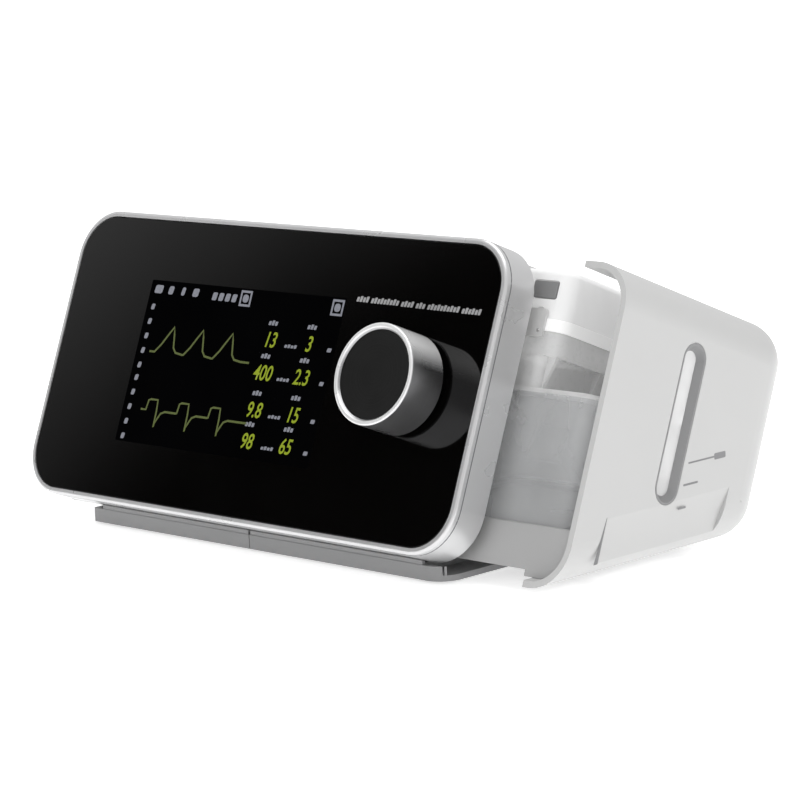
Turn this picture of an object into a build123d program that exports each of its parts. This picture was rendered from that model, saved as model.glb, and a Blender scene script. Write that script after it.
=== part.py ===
from build123d import *
import math
import os

# Bilevel ventilator with a built-in heated humidifier.
# The unit is a box that leans back, cut level at the bottom. Pieces are drawn with the origin at the middle of
# the front glass's lower edge: X to the right seen from the front, Y to the rear, Z up. Pieces that are square
# to the leaning panel are drawn on it: u to the right, v up the panel and w out of it, towards the user.
# At the end everything moves to its place on the table.

# ---------------------------------------------------------------- driving dimensions, millimetres
LEAN = 21.73            # the panel leans back from the vertical by this angle, in degrees
GLASS_WIDTH = 235.2
GLASS_HEIGHT = 114.3
GLASS_RADIUS = 17.0
RIM = 2.4               # wall of the bezel round the glass
BEZEL_DEPTH = 16.5
HOUSING_HALF = 118.0    # half width of the white housing
HOUSING_TOP = 115.0     # top of the housing, up the panel
HOUSING_BACK = -116.4   # outside of the rear wall
HOUSING_END = 97.6      # right end of the housing, where the drawer's cover takes over
HOUSING_UNDER = -8.4    # level underside
WALL = 2.4
CORNER = 13.0           # edge radius of the housing
PLINTH_UNDER = -14.0
FOOT_HEIGHT = 1.0       # how far the feet stand out of the plinth
SEAM = 6.0              # where the main base meets the humidifier base

SCREEN_U = -14.75       # middle of the display
SCREEN_V = 56.25
KNOB_U = 82.8
KNOB_V = 59.0
KNOB_RADIUS = 19.4
KNOB_FRONT = 19.5
KNOB_BACK = 2.0

DRAWER_OUT = 42.0       # how far the drawer is pulled out at rest
COVER_SIDE = HOUSING_HALF + DRAWER_OUT + 3.0
COVER_LEFT = 140.0      # left edge of the cover's top and rear flanges
COVER_UNDER = -11.4
COVER_BACK = -121.0     # outside of the cover's rear flange
BAY_LEFT = 7.4          # inner faces of the humidifier bay
BAY_FRONT = -20.0
BAY_BACK = -108.0
TANK_LEFT = 50.5
TANK_FRONT = -22.5
TANK_BACK = -105.5
TANK_WALL = 2.0
TANK_UNDER = 1.1
BASIN_RIGHT = 154.0
BASIN_TOP = 65.8
CHAMBER_RIGHT = 126.5
COLLAR_RIGHT = 130.5
COLLAR_UNDER = 79.7
SEAL_UNDER = 88.7
SEAL_TOP = 93.3
LID_TOP = 112.0
PORT_V = 78.0           # the tank's two air ports, on the panel's v and w
INLET_W = -66.0
OUTLET_W = -93.0
PORT_RADIUS = 8.5

# Place of the drawing origin on the table, in the finished part's frame.
PANEL_X = -(HOUSING_HALF + 2.0 + COVER_SIDE) / 2 + HOUSING_HALF + 2.0
PANEL_Y = -79.3
PANEL_Z = -PLINTH_UNDER + FOOT_HEIGHT

SIN = math.sin(math.radians(LEAN))
COS = math.cos(math.radians(LEAN))
TABLE = PLINTH_UNDER - FOOT_HEIGHT
panel = Plane(origin=(0, 0, 0), x_dir=(1, 0, 0), z_dir=(0, -COS, SIN))


# ---------------------------------------------------------------- drawing helpers
def lean(shape):
    """Move a shape drawn in u, v, w onto the leaning panel."""
    return panel.location * shape


def between(low, high):
    """Box between two opposite corners."""
    size = [b - a for a, b in zip(low, high)]
    centre = [(a + b) / 2 for a, b in zip(low, high)]
    return Pos(*centre) * Box(*size)


def rounded_slab(width, height, radius, front, back, u=0.0, v=GLASS_HEIGHT / 2):
    """Plate with rounded corners between two depths of the panel."""
    return extrude(Pos(u, v, back) * RectangleRounded(width, height, radius), front - back)


def level_plate(low, high, radius):
    """Level plate with rounded corners between two opposite corners."""
    width, depth, height = [b - a for a, b in zip(low, high)]
    middle = ((low[0] + high[0]) / 2, (low[1] + high[1]) / 2, low[2])
    return extrude(Pos(*middle) * RectangleRounded(width, depth, radius), height)


def post(u, v, front, back, radius, hole=0.0):
    """Round post or tube square to the panel."""
    shape = Pos(u, v, (front + back) / 2) * Cylinder(radius, front - back)
    if hole:
        shape -= Pos(u, v, (front + back) / 2) * Cylinder(hole, front - back)
    return shape


def upright(x, y, low, high, radius, hole=0.0):
    """Round post or tube that stands upright."""
    return post(x, y, high, low, radius, hole)


def cross_tube(y, z, left, right, radius, hole=0.0):
    """Round bar or tube along X."""
    place = Pos((left + right) / 2, y, z) * Rot(0, 90, 0)
    shape = place * Cylinder(radius, right - left)
    if hole:
        shape -= place * Cylinder(hole, right - left)
    return shape


def above(z):
    """All the space over a level."""
    return between((-300, -300, z), (300, 400, 300))


def group(pieces):
    """Separate pieces of one kind, kept together."""
    return Compound([piece.solid() for piece in pieces])


def leaning_block(left, right, front, back, top, under):
    """Block that is square to the panel, with a level underside."""
    return (lean(between((left, -70, back), (right, top, front))) & above(under)).solid()


def rounded_block(left, right, front, back, top, under, radius, side, side_radii=None):
    """Leaning block with round edges on one side, at the rear and along its top and bottom rear.

    side is -1 for the left side and 1 for the right one. The front edges stay sharp.
    """
    block = leaning_block(left, right, front, back, top, under)
    outer = block.faces().sort_by(Axis.X)[0 if side < 0 else -1]
    rear = block.faces().sort_by(Axis((0, 0, 0), (0, COS, -SIN)))[-1]
    front_face = block.faces().sort_by(Axis((0, 0, 0), (0, -COS, SIN)))[-1]
    sharp = front_face.edges()
    ends = block.faces().sort_by(Axis.X)[-1 if side < 0 else 0].edges()
    wanted = [e for e in outer.edges() + rear.edges() if e not in sharp and e not in ends]
    return fillet(list(dict.fromkeys(wanted)), radius)


def port_place(w):
    """Level position (y, z) of a tank port."""
    return PORT_V * SIN - w * COS, PORT_V * COS + w * SIN


def side_plane(x):
    """Plane of a side wall: its x runs to the rear along the unit's depth, its y runs up the panel."""
    return Plane(origin=(x, 0, 0), x_dir=(0, COS, -SIN), z_dir=(1, 0, 0))


# ---------------------------------------------------------------- control panel
BOSSES = [(u, v) for u in (-105, 14, 105) for v in (9.0, GLASS_HEIGHT - 9.0)]
PCB_BACK = -11.1
FRAME_FRONT = -14.7
FRAME_BACK = -16.4


def front_bezel():
    width, height = GLASS_WIDTH + 2 * RIM, GLASS_HEIGHT + 2 * RIM
    ring = rounded_slab(width, height, GLASS_RADIUS + RIM, 0, -BEZEL_DEPTH)
    ring = fillet(ring.faces().sort_by(Axis.Z)[-1].edges(), 1.3)
    ring = fillet(ring.faces().sort_by(Axis.Z)[0].edges(), 1.0)
    ring -= rounded_slab(GLASS_WIDTH + 0.2, GLASS_HEIGHT + 0.2, GLASS_RADIUS + 0.1, 1, -2.3)
    ring -= rounded_slab(GLASS_WIDTH - 8, GLASS_HEIGHT - 8, GLASS_RADIUS - 4, -2.3, -4.5)
    ring -= rounded_slab(GLASS_WIDTH, GLASS_HEIGHT, GLASS_RADIUS, -4.5, -20)
    for u, v in BOSSES:
        wall = 8.0 if v < GLASS_HEIGHT / 2 else GLASS_HEIGHT - 8.0
        middle = -1.0 if v < GLASS_HEIGHT / 2 else GLASS_HEIGHT + 1.0
        web = between((u - 1, min(wall, middle), -14.5), (u + 1, max(wall, middle), -4.0))
        ring += post(u, v, -4.0, -14.5, 3.2) + web
        ring -= post(u, v, -6.0, -15.0, 1.35)
    return lean(ring)


def front_glass():
    glass = rounded_slab(GLASS_WIDTH - 0.2, GLASS_HEIGHT - 0.2, GLASS_RADIUS - 0.1, -0.15, -2.15)
    glass = chamfer(glass.faces().sort_by(Axis.Z)[-1].edges(), 0.3)
    return lean(glass - post(KNOB_U, KNOB_V, 1, -3, 6.5))


def display_module():
    module = rounded_slab(120.7, 75.8, 1.5, -3.3, -5.9, SCREEN_U, SCREEN_V)
    module += rounded_slab(116.5, 72.0, 0.8, -3.0, -3.3, SCREEN_U, SCREEN_V)
    ribbon = between((SCREEN_U - 14, SCREEN_V - 46, -5.8), (SCREEN_U + 14, SCREEN_V - 37, -5.6))
    return lean(module + ribbon)


def display_bracket():
    plate = rounded_slab(226, 104, 10, -6.1, -7.7)
    lip = rounded_slab(124, 79, 3, -3.2, -6.2, SCREEN_U, SCREEN_V)
    plate += lip - rounded_slab(121.2, 76.3, 1.6, -3, -6.1, SCREEN_U, SCREEN_V)
    plate -= between((SCREEN_U - 16, SCREEN_V - 46, -9), (SCREEN_U + 16, SCREEN_V - 37.5, -3))
    for u, v in BOSSES:
        plate -= post(u, v, -2, -9, 4.3)
    for row in range(2):
        for column in range(4):
            hole_u = SCREEN_U - 42 + column * 28
            plate -= rounded_slab(20, 22, 3, -6, -8, hole_u, SCREEN_V - 14 + row * 28)
    for u, v in [(-96, 24), (-96, 90), (108, 30), (108, 90)]:
        plate += post(u, v, -7.6, -9.5, 3.0)
    return lean(plate - post(KNOB_U, KNOB_V, -5, -9, 3.6))


def control_board():
    board = rounded_slab(218, 98, 4, -9.5, PCB_BACK)
    for u, v in BOSSES:
        board -= post(u, v, -9, -12, 4.0)
    board -= rounded_slab(15, 16, 1, -9, -12, KNOB_U, KNOB_V)
    chips = [(-80, 60, 12, 12, 1.4), (-52, 70, 18, 10, 1.2), (-20, 62, 14, 14, 1.4), (14, 40, 8, 20, 2.6)]
    chips += [(-60, 24, 30, 6, 3.0), (40, 84, 22, 6, 3.0), (44, 40, 9, 9, 1.2), (-96, 40, 8, 12, 3.2)]
    for u, v, width, height, thick in chips:
        board += rounded_slab(width, height, 0.6, PCB_BACK + 0.1, PCB_BACK - thick, u, v)
    return lean(board)


def mid_frame():
    frame = rounded_slab(GLASS_WIDTH - 0.4, GLASS_HEIGHT - 0.4, GLASS_RADIUS - 0.2, FRAME_FRONT, FRAME_BACK)
    frame -= rounded_slab(46, 22, 4, -14, -17, -60, 30)
    for u, v in BOSSES:
        frame -= post(u, v, -14, -17, 1.6)
    return lean(frame)


# ---------------------------------------------------------------- rotary knob and its encoder
def knob_post(front, back, radius, hole=0.0):
    return post(KNOB_U, KNOB_V, front, back, radius, hole)


def encoder_body():
    body = rounded_slab(12.6, 13.2, 0.8, -7.9, -14.4, KNOB_U, KNOB_V)
    body += knob_post(-1.6, -8.0, 3.5)
    body -= knob_post(-8.4, -14.0, 4.2)
    body -= knob_post(0, -8.5, 3.05)
    return lean(body)


def encoder_nut():
    nut = extrude(Pos(KNOB_U, KNOB_V, -6.0) * RegularPolygon(5.6, 6), 2.2)
    return lean(nut - knob_post(-3, -7, 3.52))


def encoder_plunger():
    return lean(knob_post(-12.4, -13.1, 3.9) + knob_post(-13.1, -13.2, 2.0))


def encoder_shaft():
    shaft = chamfer(knob_post(13.0, -12.3, 3.0).faces().sort_by(Axis.Z)[-1].edges(), 0.4)
    flat = between((KNOB_U - 4, KNOB_V + 2.0, 4.0), (KNOB_U + 4, KNOB_V + 4, 14.0))
    return lean(shaft - flat)


def knob_ring():
    ring = knob_post(KNOB_FRONT, KNOB_BACK, KNOB_RADIUS)
    ring = fillet(ring.faces().sort_by(Axis.Z)[-1].edges(), 0.7)
    ring = chamfer(ring.faces().sort_by(Axis.Z)[0].edges(), 0.5)
    ring -= knob_post(KNOB_FRONT + 1, KNOB_BACK - 1, 17.0)
    bevel = Pos(KNOB_U, KNOB_V, KNOB_FRONT - 0.45) * Cone(17.0, 18.0, 1.0)
    return lean(ring - bevel)


def knob_hub():
    hub = knob_post(16.5, 14.5, 16.95) + knob_post(14.6, 3.0, 16.95, 15.4)
    hub += knob_post(14.6, -0.2, 5.0)
    for turn in range(3):
        rib = Pos(KNOB_U, KNOB_V, 10) * Rot(0, 0, turn * 60) * Box(31, 1.4, 9.2)
        hub += rib
    hub -= knob_post(13.2, -1, 3.0)
    key = between((KNOB_U - 2, KNOB_V + 2.05, 5.0), (KNOB_U + 2, KNOB_V + 3.2, 13.2))
    return lean(hub + key)


def knob_cap():
    cap = knob_post(18.6, 16.6, 16.95)
    return lean(fillet(cap.faces().sort_by(Axis.Z)[-1].edges(), 0.3))


# ---------------------------------------------------------------- housing
OUTLET_X = -14.0        # patient outlet on the rear wall
OUTLET_RADIUS = 11.0    # takes a 22 mm hose cuff
OUTLET_Y, OUTLET_Z = port_place(OUTLET_W)
INLET_Y, INLET_Z = port_place(INLET_W)
FILTER_U, FILTER_V = -79.0, 76.0
FILTER_WIDTH, FILTER_HEIGHT = 50.0, 42.0
SOCKET_U, SOCKET_V = -37.0, 58.0
SWITCH_U, SWITCH_V = -8.5, 58.0
COMM_U, COMM_V = -41.0, 84.0
COMM_WIDTH, COMM_HEIGHT = 14.4, 12.4
DOOR_HINGE_V, DOOR_HINGE_W = FILTER_V - FILTER_HEIGHT / 2 + WALL / 2, HOUSING_BACK + WALL / 2
FLAP_HINGE_V, FLAP_HINGE_W = COMM_V + COMM_HEIGHT / 2 - 0.8, HOUSING_BACK + 0.8
CARD_V, CARD_W = 40.0, -66.0
REAR_INNER = HOUSING_BACK + WALL
FOOT_PLACES = [(x, y) for x in (-76.0, 98.0) for y in (19.0, 110.0)]
MAIN_SCREWS = [(x, y) for x in (-70.0, -6.0) for y in (30.0, 100.0)]
DOCK_SCREWS = [(x, y) for x in (12.0, 92.8) for y in (48.0, 92.0)]


def rear_cut(width, height, radius, u, v):
    return rounded_slab(width, height, radius, REAR_INNER + 3, HOUSING_BACK - 3, u, v)


def housing_shell():
    outer = rounded_block(-HOUSING_HALF, HOUSING_END, -16.6, HOUSING_BACK, HOUSING_TOP, HOUSING_UNDER,
                          CORNER, -1)
    inner = rounded_block(-HOUSING_HALF + WALL, HOUSING_END + 9, -10, REAR_INNER, HOUSING_TOP - WALL,
                          HOUSING_UNDER + WALL, CORNER - WALL, -1)
    shell = outer - inner
    shell -= between((-100, 26, -20), (BAY_LEFT, 104, 0))
    shell -= leaning_block(BAY_LEFT - 2.0, HOUSING_END + 9, BAY_FRONT + 1.8, BAY_BACK - 1.8,
                           HOUSING_TOP - WALL - 0.1, -20)
    cuts = rear_cut(FILTER_WIDTH + 1, FILTER_HEIGHT + 1, 1.0, FILTER_U, FILTER_V)
    cuts += rear_cut(22, 14, 1.5, SOCKET_U, SOCKET_V)
    cuts += rear_cut(21.4, 13.4, 1.0, SWITCH_U, SWITCH_V)
    cuts += rear_cut(COMM_WIDTH + 0.7, COMM_HEIGHT + 0.7, 0.6, COMM_U, COMM_V)
    cuts += between((-HOUSING_HALF - 2, CARD_V - 1.5, CARD_W - 12.6),
                    (-HOUSING_HALF + 4, CARD_V + 1.5, CARD_W + 12.6))
    for slot in range(9):
        v = 60 + slot * 4.2
        cuts += between((-HOUSING_HALF - 2, v, CARD_W - 19), (-HOUSING_HALF + 4, v + 1.8, CARD_W + 19))
    cuts += hinge_pins(FILTER_WIDTH, FILTER_U, DOOR_HINGE_V, DOOR_HINGE_W, 0.76, 1.8)
    cuts += hinge_pins(COMM_WIDTH, COMM_U, FLAP_HINGE_V, FLAP_HINGE_W, 0.56, 1.4)
    shell -= lean(cuts)
    shell -= Pos(OUTLET_X, OUTLET_Y + 20, OUTLET_Z) * Rot(90, 0, 0) * Cylinder(14.2, 40)
    return shell.solid()


def bottom_plate():
    plate = level_plate((-99.6, 26.4, HOUSING_UNDER), (4.8, 103.6, HOUSING_UNDER + 2.2), 3)
    for x, y in MAIN_SCREWS:
        plate += upright(x, y, HOUSING_UNDER, 0.0, 3.6)
        plate -= upright(x, y, HOUSING_UNDER - 1, -2.0, 1.25)
    for x, y in BRACKET_FEET:
        plate += upright(x, y, HOUSING_UNDER + 2, -1.0, 3.4)
    for slot in range(8):
        x = -82 + slot * 6
        plate -= between((x, 46, HOUSING_UNDER - 1), (x + 2.4, 84, HOUSING_UNDER + 3))
    return plate


SHELF_LEFT, SHELF_TOP = 97.0, COVER_UNDER - 0.35


def plinth(low, high, sharp_side, hollow=True):
    """Open-topped plinth tub, or with hollow off its outline, with round outer corners on one side."""
    tub = between(low, high)
    corners = tub.edges().filter_by(Axis.Z).group_by(Axis.X)[0 if sharp_side > 0 else -1]
    tub = fillet(corners, 9.0 if sharp_side < 0 else 1.2)
    if hollow:
        tub -= between((low[0] + WALL, low[1] + WALL, low[2] + 2.0),
                       (high[0] - WALL, high[1] - WALL, high[2] + 1))
    return tub


def fit_out(tub, screws, feet, boss_top):
    for x, y in screws:
        tub += upright(x, y, PLINTH_UNDER + 1.9, boss_top, 4.2)
        tub -= upright(x, y, PLINTH_UNDER - 1, boss_top + 1, 1.6)
        tub -= upright(x, y, PLINTH_UNDER - 1, PLINTH_UNDER + 1.5, 3.2)
    for x, y in feet:
        tub -= upright(x, y, PLINTH_UNDER - 1, PLINTH_UNDER + 0.8, 7.2)
    return tub


PLINTH_FRONT, PLINTH_REAR = 9.0, 119.0


def main_base():
    tub = plinth((-87.0, PLINTH_FRONT, PLINTH_UNDER), (SEAM - 0.2, PLINTH_REAR, HOUSING_UNDER), 1)
    tub = fit_out(tub, MAIN_SCREWS, FOOT_PLACES[:2], HOUSING_UNDER)
    for slot in range(8):
        x = -60 + slot * 6
        tub -= between((x, 52, PLINTH_UNDER - 1), (x + 2.4, 84, PLINTH_UNDER + 3))
    return tub


def dock_base():
    low, high = (SEAM + 0.2, PLINTH_FRONT, PLINTH_UNDER), (110.0, PLINTH_REAR, HOUSING_UNDER)
    tub = plinth(low, high, -1)
    plinth_outline = plinth(low, high, -1, False)
    shelf = plinth_outline & between((SHELF_LEFT - WALL, 0, PLINTH_UNDER), (200, 300, SHELF_TOP))
    wall = plinth_outline & between((SHELF_LEFT - WALL, 0, PLINTH_UNDER), (SHELF_LEFT, 300, HOUSING_UNDER))
    tub = tub + shelf + wall - between((SHELF_LEFT, PLINTH_FRONT + 3.6, SHELF_TOP), (200, 300, 5))
    tub = fit_out(tub, DOCK_SCREWS, FOOT_PLACES[2:], HOUSING_UNDER)
    for x, y in SPRING_PLACES:
        tub += upright(x, y, PLINTH_UNDER + 1.9, -6.5, 1.7)
    return tub


def screw(head_under, tip, radius=1.2):
    """Pan-head screw along Z from the outside of its head to its tip."""
    up = 1 if tip > head_under else -1
    low, high = sorted((head_under, head_under + up * 1.3))
    start, end = sorted((head_under + up * 1.2, tip))
    shape = upright(0, 0, low, high, 2.6) + upright(0, 0, start, end, radius)
    return shape - Pos(0, 0, head_under) * (Box(3.2, 0.8, 1.2) + Box(0.8, 3.2, 1.2))


def screws():
    """Screws of the main unit: six behind the panel and eight under the plinths."""
    pieces = [lean(Pos(u, v, 0) * screw(FRAME_BACK - 1.35, -7.0)) for u, v in BOSSES]
    pieces += [Pos(x, y, 0) * screw(PLINTH_UNDER + 0.15, -2.5) for x, y in MAIN_SCREWS]
    pieces += [Pos(x, y, 0) * screw(PLINTH_UNDER + 0.15, -4.2) for x, y in DOCK_SCREWS]
    return group(pieces)


def rubber_feet():
    feet = []
    for x, y in FOOT_PLACES:
        foot = upright(x, y, TABLE, PLINTH_UNDER + 0.75, 7.0)
        feet.append(fillet(foot.faces().sort_by(Axis.Z)[0].edges(), 0.5))
    return group(feet)


# ---------------------------------------------------------------- humidifier bay and heater
HEATER_LOW = (17.0, 37.0, -3.4)
HEATER_HIGH = (87.0, 103.0, 0.8)
SPRING_PLACES = [(x, y) for x in (24.0, 80.0) for y in (44.0, 96.0)]
SPRING_RADIUS = 2.9
SPRING_WIRE = 0.35


def bay_liner():
    outer = leaning_block(BAY_LEFT - 1.8, HOUSING_END - 0.2, BAY_FRONT + 1.6, BAY_BACK - 1.6,
                          HOUSING_TOP - WALL - 0.2, HOUSING_UNDER)
    inner = leaning_block(BAY_LEFT, HOUSING_END + 5, BAY_FRONT, BAY_BACK, HOUSING_TOP, HOUSING_UNDER + 1.6)
    liner = outer - inner
    liner -= level_plate((HEATER_LOW[0] - 1.2, HEATER_LOW[1] - 1.2, -12),
                         (HEATER_HIGH[0] + 1.2, HEATER_HIGH[1] + 1.2, 0), 6)
    for y, z in (port_place(INLET_W), port_place(OUTLET_W)):
        liner -= cross_tube(y, z, BAY_LEFT - 4, BAY_LEFT + 4, 11.6)
    for x, y in DOCK_SCREWS:
        liner += upright(x, y, HOUSING_UNDER + 0.5, -3.6, 3.6)
        liner -= upright(x, y, HOUSING_UNDER - 1, -4.0, 1.25)
    return liner.solid()


def port_seals():
    rings = []
    for y, z in (port_place(INLET_W), port_place(OUTLET_W)):
        ring = cross_tube(y, z, 4.6, 7.5, 11.5) + cross_tube(y, z, 4.6, 5.4, 12.2)
        rings.append((ring - cross_tube(y, z, 0, 10, PORT_RADIUS + 0.4)).solid())
    return group(rings)


def heater_plate():
    plate = level_plate(HEATER_LOW, HEATER_HIGH, 6)
    plate = chamfer(plate.faces().sort_by(Axis.Z)[-1].edges(), 1.0)
    recess = level_plate((29, 48, -4), (75, 92, -2.2), 4)
    return plate - recess


def heater_element():
    return level_plate((30, 49, -3.2), (74, 91, -2.25), 3)


def heater_springs():
    bottom, top, turns = PLINTH_UNDER + 2.05 + SPRING_WIRE, HEATER_LOW[2] - 0.05 - SPRING_WIRE, 5
    springs = []
    path = Helix((top - bottom) / turns, top - bottom, SPRING_RADIUS)
    ring = Plane(origin=path @ 0, z_dir=path % 0) * Circle(SPRING_WIRE)
    coil = sweep(ring, path)
    for x, y in SPRING_PLACES:
        springs.append((Pos(x, y, bottom) * coil).solid())
    return group(springs)


# ---------------------------------------------------------------- blower, air path and electronics
BLOWER_X, BLOWER_Y = -66.0, INLET_Y - 17.5
VOLUTE_RADIUS = 25.0
VOLUTE_LOW, VOLUTE_HIGH = INLET_Z - 12.0, INLET_Z + 11.0
BRACKET_FEET = [(BLOWER_X + dx, y) for dx in (-14, 28) for y in (58, 84)]
MOUNT_PLACES = [(BLOWER_X + 19 * math.cos(math.radians(a)), BLOWER_Y + 19 * math.sin(math.radians(a)))
                for a in (90, 210, 330)]


def main_board():
    board = level_plate((-108, 30, -0.8), (2, 98, 0.8), 3)
    for x, y in MAIN_SCREWS:
        board -= upright(x, y, -3, 3, 4.2)
    for x, y in BRACKET_FEET:
        board -= upright(x, y, -3, 3, 2.4)
    parts = [(-50, 44, 16, 16, 3), (-24, 46, 12, 20, 9), (-24, 72, 14, 14, 2), (-60, 92, 22, 8, 6)]
    parts += [(-80, 42, 26, 8, 12), (-14, 88, 10, 10, 14), (-66, 70, 20, 20, 1.6)]
    for x, y, width, depth, height in parts:
        board += level_plate((x - width / 2, y - depth / 2, 0.7),
                             (x + width / 2, y + depth / 2, 0.8 + height), 1)
    return board


def blower_bracket():
    plate = level_plate((BLOWER_X - 32, 52, VOLUTE_LOW - 7), (BLOWER_X + 32, 90, VOLUTE_LOW - 5), 4)
    plate -= upright(BLOWER_X, BLOWER_Y, VOLUTE_LOW - 9, VOLUTE_LOW - 3, 12)
    for x, y in BRACKET_FEET:
        plate += upright(x, y, -0.9, VOLUTE_LOW - 6, 2.2)
    return plate


def blower_mounts():
    mounts = []
    for x, y in MOUNT_PLACES:
        mount = upright(x, y, VOLUTE_LOW - 5, VOLUTE_LOW, 4.0)
        mount -= upright(x, y, VOLUTE_LOW - 2, VOLUTE_LOW + 1, 1.5)
        mounts.append(mount.solid())
    return group(mounts)


def blower_base():
    base = upright(BLOWER_X, BLOWER_Y, VOLUTE_LOW, INLET_Z, VOLUTE_RADIUS)
    base -= upright(BLOWER_X, BLOWER_Y, VOLUTE_LOW + 1.8, INLET_Z + 1, VOLUTE_RADIUS - 2)
    base -= upright(BLOWER_X, BLOWER_Y, VOLUTE_LOW - 1, VOLUTE_LOW + 3, 9)
    pipe = cross_tube(INLET_Y, INLET_Z, BLOWER_X, BLOWER_X + 33, 9.0)
    bore = cross_tube(INLET_Y, INLET_Z, BLOWER_X, BLOWER_X + 40, 7.2)
    half = between((-300, -300, VOLUTE_LOW), (300, 300, INLET_Z))
    chamber = upright(BLOWER_X, BLOWER_Y, VOLUTE_LOW + 1.8, INLET_Z + 1, VOLUTE_RADIUS - 2)
    return (base + (pipe & half) - bore - chamber).solid()


def blower_cover():
    cover = upright(BLOWER_X, BLOWER_Y, INLET_Z + 0.1, VOLUTE_HIGH, VOLUTE_RADIUS)
    chamber = upright(BLOWER_X, BLOWER_Y, INLET_Z - 1, VOLUTE_HIGH - 1.8, VOLUTE_RADIUS - 2)
    pipe = cross_tube(INLET_Y, INLET_Z, BLOWER_X, BLOWER_X + 33, 9.0)
    half = between((-300, -300, INLET_Z + 0.1), (300, 300, INLET_Z + 20))
    cover = cover + (pipe & half) - chamber
    cover -= cross_tube(INLET_Y, INLET_Z, BLOWER_X, BLOWER_X + 40, 7.2)
    cover += upright(BLOWER_X, BLOWER_Y, VOLUTE_HIGH - 0.5, VOLUTE_HIGH + 3, 14.5)
    cover -= upright(BLOWER_X, BLOWER_Y, VOLUTE_HIGH - 1, VOLUTE_HIGH + 4, 13.2)
    cover -= upright(BLOWER_X, BLOWER_Y, VOLUTE_HIGH - 3, VOLUTE_HIGH + 1, 4.5)
    return cover.solid()


def impeller():
    disc = upright(BLOWER_X, BLOWER_Y, INLET_Z + 5, INLET_Z + 6.5, 19.5)
    disc += upright(BLOWER_X, BLOWER_Y, INLET_Z + 1, INLET_Z + 8, 4.0)
    blade = Pos(12.2, 0, INLET_Z) * Rot(0, 0, 38) * Box(12.5, 1.1, 10.4)
    for turn in range(11):
        disc += Pos(BLOWER_X, BLOWER_Y, 0) * Rot(0, 0, turn * 360 / 11) * blade
    disc -= upright(BLOWER_X, BLOWER_Y, INLET_Z - 8, INLET_Z + 9, 1.5)
    return disc.solid()


def motor_shaft():
    return upright(BLOWER_X, BLOWER_Y, INLET_Z + 0.5, VOLUTE_HIGH + 17, 1.5)


def motor_body():
    can = upright(BLOWER_X, BLOWER_Y, VOLUTE_HIGH + 0.2, VOLUTE_HIGH + 18, 13.0)
    can -= upright(BLOWER_X, BLOWER_Y, VOLUTE_HIGH + 3, VOLUTE_HIGH + 15, 11.4)
    can -= upright(BLOWER_X, BLOWER_Y, VOLUTE_HIGH - 1, VOLUTE_HIGH + 17.2, 4.0)
    coils = upright(BLOWER_X, BLOWER_Y, VOLUTE_HIGH + 4.5, VOLUTE_HIGH + 13.5, 11.5, 6.0)
    return can + coils


def motor_bearings():
    rings = []
    for low in (VOLUTE_HIGH + 0.4, VOLUTE_HIGH + 15.0):
        rings.append(upright(BLOWER_X, BLOWER_Y, low, low + 2.2, 3.98, 1.55).solid())
    return group(rings)


def muffler_box():
    box = between((FILTER_U - 27, FILTER_V - 23, REAR_INNER + 0.2),
                  (FILTER_U + 27, FILTER_V + 23, REAR_INNER + 16))
    box -= between((FILTER_U - 25.4, FILTER_V - 21.4, REAR_INNER - 1), (FILTER_U + 25.4, FILTER_V + 21.4,
                                                                          REAR_INNER + 14.4))
    box -= rounded_slab(16, 8, 3, REAR_INNER + 18, REAR_INNER + 12, FILTER_U, FILTER_V - 12)
    return lean(box)


def filter_pad():
    return lean(between((FILTER_U - 24, FILTER_V - 20, REAR_INNER + 0.6), (FILTER_U + 24, FILTER_V + 20,
                                                                          REAR_INNER + 4.6)))


def hinge_pins(width, u, v, w, radius, reach):
    """Two stub pins on one line at the sides of a door or flap."""
    pins = None
    for side in (-1, 1):
        inner, outer = side * (width / 2 - 2.5), side * (width / 2 + reach)
        pin = cross_tube(v, w, u + min(inner, outer), u + max(inner, outer), radius)
        pins = pin if pins is None else pins + pin
    return pins


def filter_door():
    """Louvred intake door, round along its lower edge, where its two stub pins are."""
    door = rounded_slab(FILTER_WIDTH, FILTER_HEIGHT, 1.2, REAR_INNER, HOUSING_BACK, FILTER_U, FILTER_V)
    low_edges = door.edges().filter_by(Axis.X).group_by(Axis.Y)[0]
    door = fillet(low_edges, WALL / 2 - 0.05)
    door += hinge_pins(FILTER_WIDTH, FILTER_U, DOOR_HINGE_V, DOOR_HINGE_W, 0.7, 1.6)
    for slot in range(6):
        v = FILTER_V - 13.6 + slot * 5.0
        door -= rounded_slab(FILTER_WIDTH - 12, 2.2, 1.0, REAR_INNER + 1, HOUSING_BACK - 1, FILTER_U, v)
    door -= rounded_slab(14, 3.4, 1.6, HOUSING_BACK + 1.2, HOUSING_BACK - 1, FILTER_U, FILTER_V + 17.4)
    return lean(door)


def dc_inlet():
    """Two-pin low-voltage power inlet."""
    body = rounded_slab(21.4, 13.4, 1.2, HOUSING_BACK + 14, HOUSING_BACK - 0.2, SOCKET_U, SOCKET_V)
    body += rounded_slab(26, 18, 2.5, HOUSING_BACK - 0.02, HOUSING_BACK - 1.2, SOCKET_U, SOCKET_V)
    body -= rounded_slab(17, 9, 2.5, HOUSING_BACK + 11, HOUSING_BACK - 2, SOCKET_U, SOCKET_V)
    for side in (-1, 1):
        body += post(SOCKET_U + side * 5.4, SOCKET_V, HOUSING_BACK + 11.5, HOUSING_BACK + 2, 1.1)
    return lean(body)


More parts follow.
